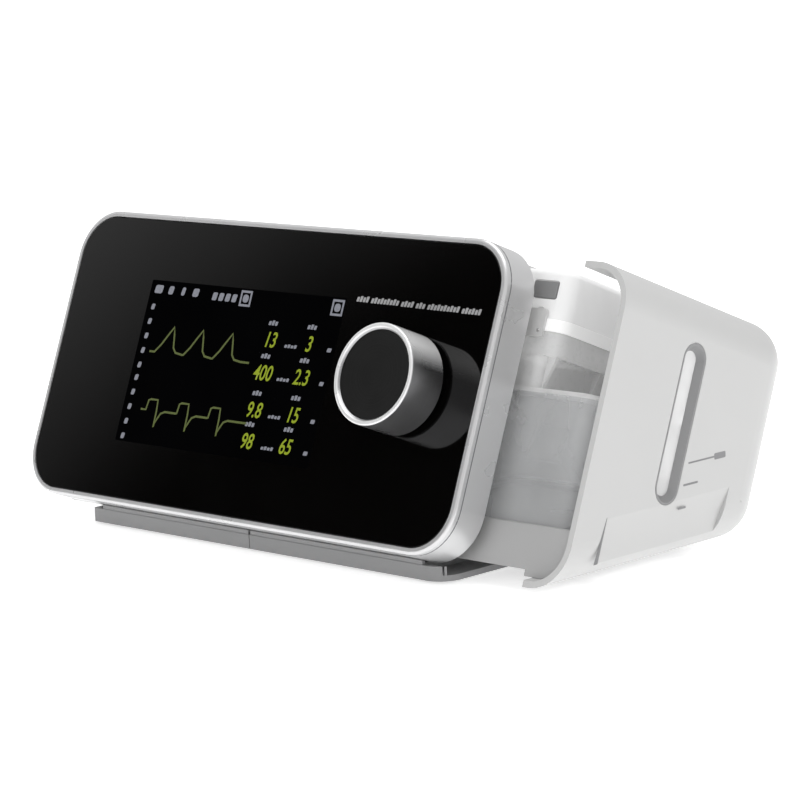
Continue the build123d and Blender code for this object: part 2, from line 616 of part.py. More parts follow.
def switch_body():
    body = rounded_slab(21.0, 13.0, 0.8, HOUSING_BACK + 16, HOUSING_BACK - 0.1, SWITCH_U, SWITCH_V)
    body += rounded_slab(25, 17, 2.0, HOUSING_BACK - 0.02, HOUSING_BACK - 1.2, SWITCH_U, SWITCH_V)
    body -= rounded_slab(18.0, 10.2, 0.6, HOUSING_BACK + 8.5, HOUSING_BACK - 2, SWITCH_U, SWITCH_V)
    bore = Pos(SWITCH_U, SWITCH_V, HOUSING_BACK + ROCKER_PIVOT) * Rot(90, 0, 0) * Cylinder(1.06, 12.2)
    return lean(body - bore)


ROCKER_PIVOT = 3.0      # depth of the rocker's pivot behind the rear wall's outside
ROCKER_TILT = 8.0       # the rocker rests tipped by this angle from its middle position


def power_rocker():
    """Rocker that tips about a pivot along v; its outer face is a shallow V."""
    profile = Polyline((-8.3, -1.0), (0, 0.4), (8.3, -1.0), (7.2, 5.2), (-7.2, 5.2), (-8.3, -1.0))
    rocker = extrude(Plane.XZ * make_face(profile), 4.9, both=True)
    rocker += Pos(0, 0, ROCKER_PIVOT) * Rot(90, 0, 0) * Cylinder(1.0, 11.8)
    tipped = Pos(0, 0, ROCKER_PIVOT) * Rot(0, ROCKER_TILT, 0) * Pos(0, 0, -ROCKER_PIVOT) * rocker
    return lean(Pos(SWITCH_U, SWITCH_V, HOUSING_BACK) * tipped)


def comm_port():
    body = rounded_slab(COMM_WIDTH, COMM_HEIGHT, 1.0, HOUSING_BACK + 10, HOUSING_BACK + 1.9, COMM_U, COMM_V)
    body -= rounded_slab(8.4, 3.0, 1.0, HOUSING_BACK + 7, HOUSING_BACK + 1, COMM_U, COMM_V)
    return lean(body)


def port_flap():
    """Cover over the data port, hinged along its upper edge."""
    flap = rounded_slab(COMM_WIDTH, COMM_HEIGHT, 0.8, HOUSING_BACK + 1.6, HOUSING_BACK, COMM_U, COMM_V)
    flap = fillet(flap.edges().filter_by(Axis.X).group_by(Axis.Y)[-1], 0.75)
    flap += rounded_slab(7, 1.6, 0.7, HOUSING_BACK + 0.1, HOUSING_BACK - 0.8, COMM_U, COMM_V - 4.4)
    return lean(flap + hinge_pins(COMM_WIDTH, COMM_U, FLAP_HINGE_V, FLAP_HINGE_W, 0.5, 1.2))


def card_socket():
    socket = between((-115.2, CARD_V - 2.4, CARD_W - 14.5), (-84.0, CARD_V + 2.4, CARD_W + 14.5))
    socket -= between((-116, CARD_V - 1.35, CARD_W - 12.3), (-85.2, CARD_V + 1.35, CARD_W + 12.3))
    return lean(socket)


def memory_card():
    card = between((-HOUSING_HALF - 0.6, CARD_V - 1.05, CARD_W - 12.0), (-87.0, CARD_V + 1.05, CARD_W + 12.0))
    notch = between((-96, CARD_V - 2, CARD_W + 10.6), (-86, CARD_V + 2, CARD_W + 13))
    return lean(card - notch)


def blower_duct():
    """Rubber sleeve from the blower to the flow sensor."""
    return cross_tube(INLET_Y, INLET_Z, BLOWER_X + 33.2, -27.0, 10.5, 9.2)


def flow_sensor():
    tube = cross_tube(INLET_Y, INLET_Z, -26.8, 4.4, 9.2, 7.4)
    tube += cross_tube(INLET_Y, INLET_Z, 2.6, 4.4, 11.6, 7.4)
    board = between((-20, INLET_Y - 7, INLET_Z + 8.6), (-4, INLET_Y + 7, INLET_Z + 10.4))
    return tube + (board - cross_tube(INLET_Y, INLET_Z, -30, 6, 8.4))


def patient_duct():
    route = FilletPolyline((4.3, OUTLET_Y, OUTLET_Z), (OUTLET_X, OUTLET_Y, OUTLET_Z),
                           (OUTLET_X, OUTLET_Y + 18.5, OUTLET_Z), radius=11.0)
    start = Plane(origin=route @ 0, z_dir=route % 0)
    tube = sweep(start * Circle(9.2), route) - sweep(start * Circle(7.4), route)
    return tube


def patient_outlet():
    """Conical-fitting sized connector that takes the patient hose."""
    place = Pos(OUTLET_X, OUTLET_Y, OUTLET_Z) * Rot(-90, 0, 0)
    tube = place * Pos(0, 0, 38.5) * Cylinder(OUTLET_RADIUS, 16.0)
    flange = place * Pos(0, 0, 24.9) * Cylinder(13.9, 12.2)
    bore = place * Pos(0, 0, 30) * Cylinder(9.0, 60)
    outlet = tube + flange - bore
    rim = outlet.edges().filter_by(GeomType.CIRCLE).sort_by(Axis.Y)[-2:]
    return chamfer(rim, 0.5)


def speaker():
    ring = between((-115.4, 0, 0), (-112.4, 26, 30))
    frame = ring - cross_tube(13, 15, -120, -111, 11.0)
    cone = cross_tube(13, 15, -114.6, -113.2, 11.1)
    magnet = cross_tube(13, 15, -113.3, -107.5, 6.5)
    return lean(Pos(0, 62, CARD_W - 15) * (frame + cone + magnet))


# ---------------------------------------------------------------- drawer
SLOT_W, SLOT_LOW, SLOT_HIGH, SLOT_WIDTH = -61.4, 36.0, 97.0, 13.4
GRIP_FRONT, GRIP_BACK, GRIP_TOP, GRIP_DEPTH = -33.0, -97.0, 11.0, 4.6
COVER_FRONT = -16.8
COVER_RADIUS = 16.0
COVER_SCREWS = [(148.0, 44.0), (148.0, 96.0)]


def slot_outline(shrink):
    length = SLOT_HIGH - SLOT_LOW
    place = side_plane(COVER_SIDE) * Pos(-SLOT_W, (SLOT_LOW + SLOT_HIGH) / 2)
    return place * SlotOverall(length - 2 * shrink, SLOT_WIDTH - 2 * shrink, rotation=90)


def grip_solid(front, back, pad):
    """Finger recess, or with pad the thicker wall behind it, between two depths."""
    lower = COVER_UNDER - 4
    top = GRIP_TOP + (6 if pad else 0)
    slope = GRIP_DEPTH / (GRIP_TOP - COVER_UNDER)
    inner = COVER_SIDE - pad
    outline = Polyline((COVER_SIDE + 5, lower), (COVER_SIDE + 5, top),
                       (inner + slope * (top - GRIP_TOP), top),
                       (inner - slope * (GRIP_TOP - lower), lower), (COVER_SIDE + 5, lower))
    wedge = extrude(Plane.XZ * make_face(outline), -300)
    return wedge & lean(between((100, -100, back), (200, 200, front)))


def side_cover():
    outer = rounded_block(80, COVER_SIDE, COVER_FRONT, COVER_BACK, HOUSING_TOP, COVER_UNDER, COVER_RADIUS, 1)
    inner = rounded_block(70, COVER_SIDE - WALL, -5, COVER_BACK + WALL, HOUSING_TOP - WALL,
                          COVER_UNDER + WALL, COVER_RADIUS - WALL, 1)
    shell = outer - inner
    pad = outer & grip_solid(GRIP_FRONT + 1.8, GRIP_BACK - 1.8, 1.8)
    for x, y in COVER_SCREWS:
        shell += upright(x, y, COVER_UNDER + 0.6, -2.2, 3.6)
    shell = shell + pad
    shell -= grip_solid(GRIP_FRONT, GRIP_BACK, 0)
    shell -= between((0, -100, -100), (COVER_LEFT, 300, 300))
    shell -= between((0, -100, -100), (144.2, 150, 6)) & lean(between((0, -100, -112), (200, 60, 0)))
    for x, y in COVER_SCREWS:
        shell -= upright(x, y, -20, COVER_UNDER + 2.4, 2.9)
        shell -= upright(x, y, -20, 0, 1.5)
    shell -= extrude(slot_outline(0.0), -10, both=False)
    return shell.solid()


def slot_window():
    """Tinted bezel of the viewing slot, with a clear floor."""
    funnel = loft([slot_outline(0.15), Pos(-WALL, 0, 0) * slot_outline(1.2)])
    hollow = loft([Pos(0.01, 0, 0) * slot_outline(0.9), Pos(-WALL - 0.01, 0, 0) * slot_outline(3.2)])
    return (funnel - hollow).solid()


def slot_lens():
    lens = extrude(Pos(-WALL - 0.05, 0, 0) * slot_outline(1.6), -0.7)
    return lens


def cover_screws():
    pieces = [Pos(x, y, 0) * screw(COVER_UNDER + 1.0, -0.2) for x, y in COVER_SCREWS]
    return group(pieces)


def drawer_tray():
    """Open frame under the tank: front and rear rails joined at the right end."""
    outer = leaning_block(TANK_LEFT, 156.9, BAY_FRONT - 0.7, BAY_BACK + 0.7, 60, -6.6)
    outer += leaning_block(COVER_LEFT + 0.4, 160.0, BAY_FRONT - 0.7, BAY_BACK + 0.7, 60,
                           COVER_UNDER + WALL + 0.15)
    outer &= between((0, -100, -100), (200, 300, 8.4))
    well = leaning_block(TANK_LEFT - 5, 155.6, TANK_FRONT + 0.25, TANK_BACK - 0.25, 70, 0.9)
    under = between((TANK_LEFT - 5, HEATER_LOW[1] - 3, -20), (138.0, HEATER_HIGH[1] + 3, 1.0))
    tray = outer - well - under
    keep = rounded_block(80, COVER_SIDE - WALL - 0.2, 5, BAY_BACK + 0.6, 112, COVER_UNDER + WALL + 0.1,
                         COVER_RADIUS - WALL, 1)
    left_part = between((0, -100, -100), (143.8, 300, 300))
    tray = (tray & left_part) + (tray & keep & between((143.7, -100, -100), (200, 300, 300)))
    tray -= grip_solid(GRIP_FRONT + 2.4, GRIP_BACK - 2.4, 2.4)
    tray -= between((137, 36, -20), (200, 104, -2.1))
    tray -= between((143.6, -50, -20), (200, 300, -2.1)) & lean(between((0, -100, -104), (200, 100, -24)))
    for x, y in COVER_SCREWS:
        tray -= upright(x, y, -3, 0.2, 1.25)
    return tray.solid()


def tank_prism(left, right, low, high, radius, inset=0.0):
    """Prism with round corners that runs up the panel between two heights."""
    width = right - left - 2 * inset
    depth = TANK_FRONT - TANK_BACK - 2 * inset
    middle = Plane(origin=((left + right) / 2, low, (TANK_FRONT + TANK_BACK) / 2),
                   x_dir=(1, 0, 0), z_dir=(0, 1, 0))
    return extrude(middle * RectangleRounded(width, depth, max(radius - inset, 0.5)), high - low)


def tank_basin():
    outer = lean(tank_prism(TANK_LEFT, BASIN_RIGHT, -60, BASIN_TOP - 1.8, 7)) & above(TANK_UNDER)
    inner = lean(tank_prism(TANK_LEFT, BASIN_RIGHT, -60, BASIN_TOP + 5, 7, TANK_WALL)) & above(TANK_UNDER + 2)
    rim = lean(tank_prism(TANK_LEFT, BASIN_RIGHT, BASIN_TOP - 1.8, BASIN_TOP, 7, -0.8))
    basin = outer + rim - inner
    x0, y0, x1, y1 = BASE_PLATE
    basin -= level_plate((x0 - 0.1, y0 - 0.1, 0), (x1 + 0.1, y1 + 0.1, 6), 6)
    return basin.solid()


BASE_PLATE = (59.0, 36.0, 135.0, 104.0)


def tank_base_plate():
    x0, y0, x1, y1 = BASE_PLATE
    plate = level_plate((x0, y0, TANK_UNDER), (x1, y1, TANK_UNDER + 2.0), 6)
    plate += level_plate((x0 - 3, y0 - 3, TANK_UNDER + 2.0), (x1 + 3, y1 + 3, TANK_UNDER + 2.8), 8)
    plate -= level_plate((x0 + 1, y0 + 1, TANK_UNDER + 0.9), (x1 - 1, y1 - 1, TANK_UNDER + 4), 5)
    return plate


def tank_chamber():
    """Clear upper chamber that carries the air ports and the collar for the lid's seal."""
    body = tank_prism(TANK_LEFT, BASIN_RIGHT, BASIN_TOP, BASIN_TOP + 1.6, 7, -0.8)
    body += tank_prism(TANK_LEFT, CHAMBER_RIGHT, BASIN_TOP, COLLAR_UNDER + 1, 6)
    body += tank_prism(TANK_LEFT, COLLAR_RIGHT, COLLAR_UNDER, SEAL_UNDER, 6)
    body -= tank_prism(TANK_LEFT, CHAMBER_RIGHT, BASIN_TOP - 1, COLLAR_UNDER, 6, TANK_WALL)
    body -= tank_prism(TANK_LEFT, COLLAR_RIGHT, COLLAR_UNDER - 0.01, SEAL_UNDER + 1, 6, TANK_WALL + 2)
    for w in (TANK_FRONT - 2.0, TANK_FRONT - 28.0, TANK_BACK + 28.0, TANK_BACK + 4.0):
        gusset = Polyline((CHAMBER_RIGHT - 0.5, BASIN_TOP + 1), (COLLAR_RIGHT - 0.4, COLLAR_UNDER + 0.2),
                          (CHAMBER_RIGHT - 0.5, COLLAR_UNDER + 0.2), (CHAMBER_RIGHT - 0.5, BASIN_TOP + 1))
        body += Pos(0, 0, w - 1) * extrude(make_face(gusset), 1.6)
    body = lean(body)
    for y, z in (port_place(INLET_W), port_place(OUTLET_W)):
        body += cross_tube(y, z, TANK_LEFT - 3.0, TANK_LEFT + TANK_WALL + 3, PORT_RADIUS)
        body -= cross_tube(y, z, TANK_LEFT - 4.0, TANK_LEFT + TANK_WALL + 4, PORT_RADIUS - 1.5)
    return body.solid()


def lid_seal():
    ring = tank_prism(TANK_LEFT, COLLAR_RIGHT, SEAL_UNDER + 0.1, SEAL_TOP, 6, -0.5)
    ring -= tank_prism(TANK_LEFT, COLLAR_RIGHT, SEAL_UNDER - 1, SEAL_TOP + 1, 6, 3.5)
    return lean(ring)


BUTTON_U, BUTTON_V = 118.8, 104.2
BUTTON_WIDTH, BUTTON_HEIGHT = 11.6, 6.4


def tank_lid():
    lid = tank_prism(TANK_LEFT, COLLAR_RIGHT, SEAL_TOP + 0.1, LID_TOP, 6)
    top = lid.faces().sort_by(Axis.Y)[-1]
    lid = fillet(top.edges(), 2.2)
    lid -= tank_prism(TANK_LEFT, COLLAR_RIGHT, SEAL_TOP - 1, LID_TOP - 2.0, 6, TANK_WALL)
    lid -= rounded_slab(BUTTON_WIDTH + 0.8, BUTTON_HEIGHT + 0.8, 1.2, TANK_FRONT + 2, TANK_FRONT - 3,
                        BUTTON_U, BUTTON_V)
    return lean(lid)


def lid_latch():
    """Latch arm hooked over the lid's seal."""
    arm = rounded_slab(8.6, 10.6, 1.2, TANK_FRONT + 1.7, TANK_FRONT + 0.55, 119.0, 91.4)
    arm += rounded_slab(3.0, 3.0, 1.0, TANK_FRONT + 0.6, TANK_FRONT + 0.05, 119.0, 96.0)
    arm -= post(120.8, 88.6, TANK_FRONT + 3, TANK_FRONT - 1, 0.9)
    return lean(arm)


def lid_button():
    button = rounded_slab(BUTTON_WIDTH, BUTTON_HEIGHT, 0.8, TANK_FRONT + 0.4, TANK_FRONT - 1.6,
                          BUTTON_U, BUTTON_V)
    return lean(fillet(button.faces().sort_by(Axis.Z)[-1].edges(), 0.4))


# ---------------------------------------------------------------- all pieces, moved to their place and written
PIECES = [
    front_bezel, front_glass, display_module, display_bracket, control_board, mid_frame,
    encoder_body, encoder_nut, encoder_plunger, encoder_shaft, knob_ring, knob_hub, knob_cap,
    housing_shell, bottom_plate, main_base, dock_base, rubber_feet, screws,
    bay_liner, port_seals, heater_plate, heater_element, heater_springs,
    main_board, blower_bracket, blower_mounts, blower_base, blower_cover, impeller, motor_shaft, motor_body,
    motor_bearings, muffler_box, filter_pad, filter_door, dc_inlet, switch_body, power_rocker, comm_port,
    port_flap, card_socket, memory_card, blower_duct, flow_sensor, patient_duct, patient_outlet, speaker,
    side_cover, slot_window, slot_lens, cover_screws, drawer_tray,
    tank_basin, tank_base_plate, tank_chamber, lid_seal, tank_lid, lid_latch, lid_button,
]

os.makedirs("parts", exist_ok=True)
for piece in PIECES:
    placed = Pos(PANEL_X, PANEL_Y, PANEL_Z) * piece()
    placed.label = piece.__name__
    export_step(placed, f"parts/{piece.__name__}.step")
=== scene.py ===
import math

import bmesh
import bpy
from mathutils import Matrix, Vector


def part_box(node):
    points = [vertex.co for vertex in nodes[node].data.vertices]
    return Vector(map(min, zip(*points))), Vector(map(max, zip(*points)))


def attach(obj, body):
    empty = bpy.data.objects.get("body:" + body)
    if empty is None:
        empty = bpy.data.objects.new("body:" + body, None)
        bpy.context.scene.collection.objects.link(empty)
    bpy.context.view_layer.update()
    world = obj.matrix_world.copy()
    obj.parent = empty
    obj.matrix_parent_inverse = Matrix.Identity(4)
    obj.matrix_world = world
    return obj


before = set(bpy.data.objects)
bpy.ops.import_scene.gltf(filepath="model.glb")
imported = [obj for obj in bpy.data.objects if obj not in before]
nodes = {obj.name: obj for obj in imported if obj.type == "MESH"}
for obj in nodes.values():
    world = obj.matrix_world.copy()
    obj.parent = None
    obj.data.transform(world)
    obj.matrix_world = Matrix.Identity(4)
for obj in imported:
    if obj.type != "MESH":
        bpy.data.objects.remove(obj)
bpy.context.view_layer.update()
scene = bpy.context.scene

MM = 0.001

# The leaning panel: its foot under the bezel's middle, and its directions right, up the glass and outwards.
FOOT_FRONT, FOOT_HEIGHT = -0.0793, 0.015
bezel_low, bezel_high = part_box("front_bezel")
PANEL_FOOT = Vector(((bezel_low.x + bezel_high.x) / 2, FOOT_FRONT, FOOT_HEIGHT))
LEAN = math.radians(21.73)
RIGHT = Vector((1, 0, 0))
UP_GLASS = Vector((0, math.sin(LEAN), math.cos(LEAN)))
OUTWARD = Vector((0, -math.cos(LEAN), math.sin(LEAN)))

# The lit part of the screen, in millimetres across and up the panel.
SCREEN_LEFT, SCREEN_RIGHT = -70.5, 41.0
SCREEN_UNDER, SCREEN_TOP = 23.0, 89.5
KNOB_AT = (82.8, 59.0)

# The camera that the photograph was taken with, as azimuth, elevation, roll, distance and lens.
CAMERA_AZIMUTH, CAMERA_ELEVATION, CAMERA_ROLL = 44.88, 9.71, -2.32
CAMERA_TARGET = PANEL_FOOT + Vector((0, 0.10059, 0.03011))
CAMERA_DISTANCE, CAMERA_LENS = 1.2933, 143.57


def on_panel(u, v, w=0.0):
    """A point given on the panel, u across, v up and w out in millimetres."""
    return PANEL_FOOT + (RIGHT * u + UP_GLASS * v + OUTWARD * w) * MM


# ---------------------------------------------------------------- materials

class Finish:
    """One node material, with short names for the nodes that it takes."""

    def __init__(self, name):
        self.made = bpy.data.materials.new(name)
        self.made.use_nodes = True
        self.tree = self.made.node_tree
        self.shader = self.tree.nodes["Principled BSDF"]
        self.place = self.add("ShaderNodeTexCoord").outputs["Object"]

    def add(self, kind, **settings):
        """A new node with the settings given."""
        node = self.tree.nodes.new(kind)
        for key, value in settings.items():
            setattr(node, key, value)
        return node

    def join(self, start, end):
        self.tree.links.new(start, end)

    def mapped(self, stretch, turn=(0, 0, 0)):
        """Object coordinates, stretched and turned."""
        node = self.add("ShaderNodeMapping")
        node.inputs["Rotation"].default_value = turn
        node.inputs["Scale"].default_value = stretch
        self.join(self.place, node.inputs["Vector"])
        return node.outputs["Vector"]

    def noise(self, scale, vector=None, detail=3.0, roughness=0.55):
        node = self.add("ShaderNodeTexNoise")
        node.inputs["Scale"].default_value = scale
        node.inputs["Detail"].default_value = detail
        node.inputs["Roughness"].default_value = roughness
        self.join(vector or self.place, node.inputs["Vector"])
        return node.outputs["Fac"]

    def spread(self, fac, low, high, start=0.3, end=0.7):
        """The range from start to end of fac, mapped to low to high."""
        node = self.add("ShaderNodeMapRange")
        for key, value in zip(("From Min", "From Max", "To Min", "To Max"), (start, end, low, high)):
            node.inputs[key].default_value = value
        self.join(fac, node.inputs["Value"])
        return node.outputs["Result"]

    def blend(self, fac, first, second):
        """Two colours mixed by fac; each is a colour or a socket."""
        node = self.add("ShaderNodeMix", data_type="RGBA")
        self.join(fac, node.inputs["Factor"])
        for key, value in (("A", first), ("B", second)):
            socket = [i for i in node.inputs if i.name == key and i.type == "RGBA"][0]
            if isinstance(value, bpy.types.NodeSocket):
                self.join(value, socket)
            else:
                socket.default_value = (*value, 1.0)
        return [o for o in node.outputs if o.type == "RGBA"][0]

    def bump(self, height, distance, strength=1.0):
        node = self.add("ShaderNodeBump")
        node.inputs["Distance"].default_value = distance
        node.inputs["Strength"].default_value = strength
        self.join(height, node.inputs["Height"])
        return node.outputs["Normal"]

    def put(self, **sockets):
        """Values or links for the shader's own sockets, with _ for each space in their names."""
        for key, value in sockets.items():
            socket = self.shader.inputs[key.replace("_", " ")]
            if isinstance(value, bpy.types.NodeSocket):
                self.join(value, socket)
            else:
                socket.default_value = value


def shade(colour, factor):
    """A colour made darker or lighter, kept between 0 and 1."""
    return tuple(max(0.0, min(1.0, c * factor)) for c in colour)


TONE_SCALE, SHEEN_SCALE = 22, 60     # how fine the changes of tone and of roughness are


def moulded(name, colour, rough, tone, grain, relief, metal=0.0, stretch=(1, 1, 1), wear=0.0):
    """A moulded or painted finish: a fine surface grain, slow changes of tone and worn edges."""
    f = Finish(name)
    slow = f.noise(TONE_SCALE, f.place, 2.0)
    fine = f.noise(grain, f.mapped(stretch), 4.0)
    colours = f.blend(f.spread(slow, 0, 1), shade(colour, 1 - tone), shade(colour, 1 + tone))
    if wear:
        edge = f.add("ShaderNodeNewGeometry").outputs["Pointiness"]
        colours = f.blend(f.spread(edge, 0, 1, 0.52, 0.60), colours, shade(colour, 1 + wear))
    f.put(Base_Color=colours, Metallic=metal)
    f.put(Roughness=f.spread(f.noise(SHEEN_SCALE, f.place, 3.0), rough - 0.05, rough + 0.06))
    f.put(Normal=f.bump(fine, relief))
    return f


def clear_plastic(name, colour, rough, cover):
    """Clear moulded plastic seen as a pale skin: part of the light goes through, the rest is scattered."""
    f = Finish(name)
    flow = f.noise(38, f.mapped((1, 1, 0.35)), 3.0)
    scuff = f.noise(420, f.place, 4.0)
    rim = f.add("ShaderNodeLayerWeight")
    rim.inputs["Blend"].default_value = 0.35
    thick = f.add("ShaderNodeMath", operation="ADD")
    f.join(f.spread(flow, cover - 0.04, cover + 0.06), thick.inputs[0])
    f.join(f.spread(rim.outputs["Facing"], 0.0, 0.45, 0.35, 1.0), thick.inputs[1])
    f.put(Base_Color=f.blend(f.spread(flow, 0, 1), shade(colour, 0.94), colour), Alpha=thick.outputs["Value"])
    f.put(Roughness=f.spread(scuff, rough, rough + 0.08), IOR=1.49)
    f.put(Normal=f.bump(flow, 0.0004, 0.35))
    return f


def lit(name, colour, strength):
    """Lit picture elements: the glow changes slightly from dot to dot."""
    f = Finish(name)
    dots = f.add("ShaderNodeTexVoronoi")
    dots.inputs["Scale"].default_value = 3200
    f.join(f.place, dots.inputs["Vector"])
    glow = f.blend(f.spread(dots.outputs["Distance"], 0, 1, 0.1, 0.9), colour, shade(colour, 0.55))
    f.put(Base_Color=(0, 0, 0, 1), Emission_Color=glow, Emission_Strength=strength, Roughness=0.3)
    return f


KNOB_TURN = (math.pi / 2 - LEAN, 0, 0)     # from the part's axes to the knob's, so that marks run round it
RIM_START, RIM_FADE = 0.0189, 0.0004       # where the bright front edge starts, in metres out from the panel
HIGHLIGHT_FACING = (0.598, 0.296, 0.744)         # the painted highlight on the knob is lightest where its surface faces this way


def turned_metal(name, colour, rough, lines, relief, rim=None):
    """Turned metal: fine lines run round the knob's axis; a rim colour, if any, gives its brighter front edge
    and also a painted highlight where the side faces up and right.
    """
    f = Finish(name)
    centre = on_panel(*KNOB_AT)
    local = f.add("ShaderNodeMapping", vector_type="TEXTURE")
    local.inputs["Location"].default_value = centre
    local.inputs["Rotation"].default_value = KNOB_TURN
    f.join(f.place, local.inputs["Vector"])
    split = f.add("ShaderNodeSeparateXYZ")
    f.join(local.outputs["Vector"], split.inputs["Vector"])
    flat = f.add("ShaderNodeCombineXYZ")
    f.join(split.outputs["X"], flat.inputs["X"])
    f.join(split.outputs["Y"], flat.inputs["Y"])
    radius = f.add("ShaderNodeVectorMath", operation="LENGTH")
    f.join(flat.outputs["Vector"], radius.inputs[0])
    rings = f.add("ShaderNodeCombineXYZ")
    f.join(radius.outputs["Value"], rings.inputs["X"])
    f.join(split.outputs["Z"], rings.inputs["Y"])
    marks = f.noise(lines, rings.outputs["Vector"], 3.0, 0.7)
    smear = f.noise(45, f.place, 2.0)
    skin = f.blend(f.spread(marks, 0, 1), shade(colour, 0.86), shade(colour, 1.08))
    metal = 1.0
    if rim:
        # Painted highlight: where the surface faces the given way, the colour turns to the rim colour and less
        # metallic; it stays fixed in the room.
        facing = f.add("ShaderNodeVectorMath", operation="DOT_PRODUCT")
        f.join(f.add("ShaderNodeNewGeometry").outputs["Normal"], facing.inputs[0])
        facing.inputs[1].default_value = HIGHLIGHT_FACING
        painted_highlight = f.spread(facing.outputs["Value"], 0, 1, 0.80, 0.99)
        edge = f.spread(split.outputs["Z"], 0, 1, RIM_START, RIM_START + RIM_FADE)
        highlight_or_rim = f.add("ShaderNodeMath", operation="MAXIMUM")
        f.join(painted_highlight, highlight_or_rim.inputs[0])
        f.join(edge, highlight_or_rim.inputs[1])
        skin = f.blend(highlight_or_rim.outputs["Value"], skin, rim)
        metal = f.spread(highlight_or_rim.outputs["Value"], 1.0, 0.35, 0, 1)
    f.put(Base_Color=skin, Metallic=metal)
    f.put(Roughness=f.spread(smear, rough - 0.05, rough + 0.08), Normal=f.bump(marks, relief))
    return f


WHITE = (0.64, 0.64, 0.636)
SILVER = (0.70, 0.70, 0.705)
# moulded: colour, roughness, change of tone, how fine the grain is and its relief in metres.
# clear_plastic: colour, roughness and how much it covers. lit: colour and strength.
# turned_metal: colour, roughness, how fine the lines are, their relief, and the colour of the rim and of the
# painted highlight.
looks = {
    "white": moulded("white_plastic", WHITE, 0.42, 0.02, 1500, 0.000012, wear=0.02),
    "cover": moulded("cover_plastic", (0.57, 0.57, 0.567), 0.36, 0.015, 1500, 0.00001, wear=0.02),
    "silver": moulded("silver_paint", SILVER, 0.30, 0.02, 2600, 0.000006, metal=0.6),
    "plinth": moulded("grey_plastic", (0.25, 0.25, 0.253), 0.5, 0.05, 1200, 0.00002, wear=0.1),
    "black": moulded("black_plastic", (0.018, 0.018, 0.019), 0.38, 0.2, 1300, 0.00002, wear=0.6),
    "inner": moulded("inner_plastic", (0.11, 0.115, 0.125), 0.5, 0.1, 1100, 0.00002),
    "light_inner": moulded("impeller_plastic", (0.42, 0.43, 0.45), 0.4, 0.06, 900, 0.00001),
    "rubber": moulded("dark_rubber", (0.03, 0.03, 0.03), 0.8, 0.15, 900, 0.00004),
    "grey_rubber": moulded("grey_rubber", (0.20, 0.205, 0.21), 0.75, 0.08, 900, 0.00003),
    "silicone": moulded("white_silicone", (0.92, 0.92, 0.915), 0.55, 0.03, 700, 0.00002),
    "steel": moulded("brushed_steel", (0.55, 0.55, 0.56), 0.32, 0.06, 1800, 0.00001, metal=1.0,
                     stretch=(0.04, 1, 1)),
    "pressed": moulded("pressed_steel", (0.46, 0.47, 0.48), 0.38, 0.08, 700, 0.00001, metal=1.0),
    "heater": moulded("heater_metal", (0.58, 0.58, 0.58), 0.34, 0.05, 1500, 0.00001, metal=1.0,
                      stretch=(1, 0.05, 1)),
    "film": moulded("heater_film", (0.50, 0.20, 0.035), 0.35, 0.15, 500, 0.00002),
    "can": moulded("motor_can", (0.16, 0.165, 0.18), 0.35, 0.1, 1600, 0.00001, metal=0.9),
    "card": moulded("card_plastic", (0.03, 0.05, 0.14), 0.4, 0.08, 1500, 0.00001),
    "outlet": moulded("outlet_plastic", (0.70, 0.71, 0.72), 0.4, 0.04, 1300, 0.00001),
    "cone": moulded("speaker_cone", (0.04, 0.04, 0.045), 0.7, 0.2, 800, 0.00006),
    "tray": moulded("tray_plastic", (0.43, 0.43, 0.43), 0.4, 0.03, 1300, 0.00001),
    "clear": clear_plastic("clear_plastic", (0.90, 0.91, 0.92), 0.06, 0.26),
    "lens": clear_plastic("lens_plastic", (0.95, 0.95, 0.95), 0.18, 0.62),
    "lid": clear_plastic("lid_plastic", (0.99, 0.99, 0.99), 0.10, 0.78),
    "frosted": clear_plastic("frosted_plastic", (0.95, 0.95, 0.95), 0.25, 0.50),
    "knob_side": turned_metal("knob_metal", (0.40, 0.40, 0.41), 0.24, 5200, 0.00002),
    # The knob ring's rim colour also paints the highlight on its side.
    "knob_rim": turned_metal("knob_ring_metal_painted_highlight", (0.44, 0.44, 0.45), 0.27, 5200, 0.00001, (0.92, 0.92, 0.92)),
    "knob_inset": turned_metal("knob_inset", (0.035, 0.035, 0.035), 0.42, 3800, 0.00002),
    "seal": moulded("seal_silicone", (0.94, 0.94, 0.935), 0.5, 0.03, 700, 0.00002),
    "seam_shade": moulded("seam_painted_shade", (0.16, 0.16, 0.17), 0.5, 0.15, 2600, 0.000004),
    "field": moulded("screen_field", (0.0012, 0.0012, 0.0014), 0.9, 0.2, 900, 0.000004),
    "ink_and_painted_shade": moulded("ink_and_painted_shade", (0.22, 0.22, 0.225), 0.6, 0.2, 2600, 0.000004),
    "light_ink": moulded("light_ink", (0.34, 0.34, 0.345), 0.5, 0.12, 2600, 0.000004),
    "digits": lit("screen_green", (0.33, 0.42, 0.015), 1.0),
    "trace": lit("screen_trace", (0.12, 0.15, 0.04), 1.0),
    "marks": lit("screen_white", (0.32, 0.33, 0.38), 0.9),
}


def black_glass():
    """Black glass: deep gloss, faint smears and a slightly uneven surface."""
    f = Finish("black_glass")
    smear = f.noise(14, f.mapped((1, 0.4, 1)), 4.0)
    ripple = f.noise(9, f.place, 1.0)
    f.put(Base_Color=f.blend(smear, (0.0012, 0.0011, 0.0011), (0.0022, 0.0020, 0.0019)))
    f.put(Roughness=f.spread(smear, 0.035, 0.09), Normal=f.bump(ripple, 0.00015, 0.3), IOR=1.5)
    return f


